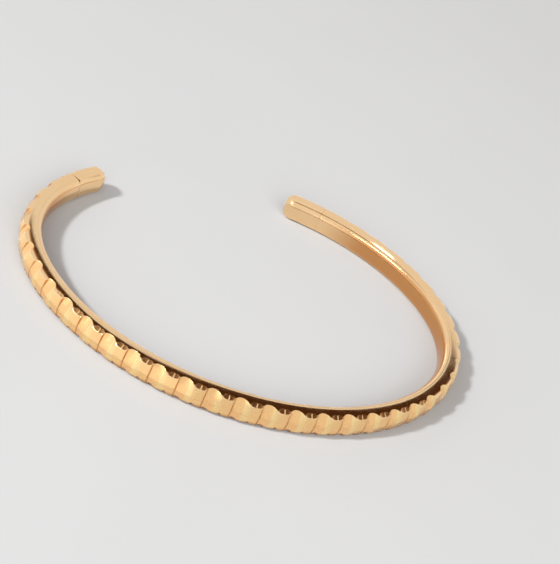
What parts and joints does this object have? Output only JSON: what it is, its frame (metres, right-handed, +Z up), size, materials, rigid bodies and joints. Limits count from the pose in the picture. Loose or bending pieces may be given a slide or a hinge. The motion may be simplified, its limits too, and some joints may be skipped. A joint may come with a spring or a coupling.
{
  "type": "open cuff bangle",
  "caption": "Oval open cuff bangle in yellow gold, facets cut across the outside, smooth liner inside, rounded end caps.",
  "frame": {"origin": "middle of the cuff's bounding box, on the plane that its bottom edge rests on", "axes": "+X along the oval's long width, +Y from the closed front towards the open back, +Z up through the wrist opening"},
  "size_m": [0.0638, 0.0496, 0.0036],
  "materials": {
    "faceted_gold": "bright cut gold plating on brass",
    "polished_gold": "polished gold plating on brass",
    "cap_gold": "polished gold plating on brass"
  },
  "bodies": {
    "root": {"faceted_band": "faceted_gold", "inner_liner": "polished_gold", "left_end_cap": "cap_gold", "right_end_cap": "cap_gold"}
  },
  "joints": []
}
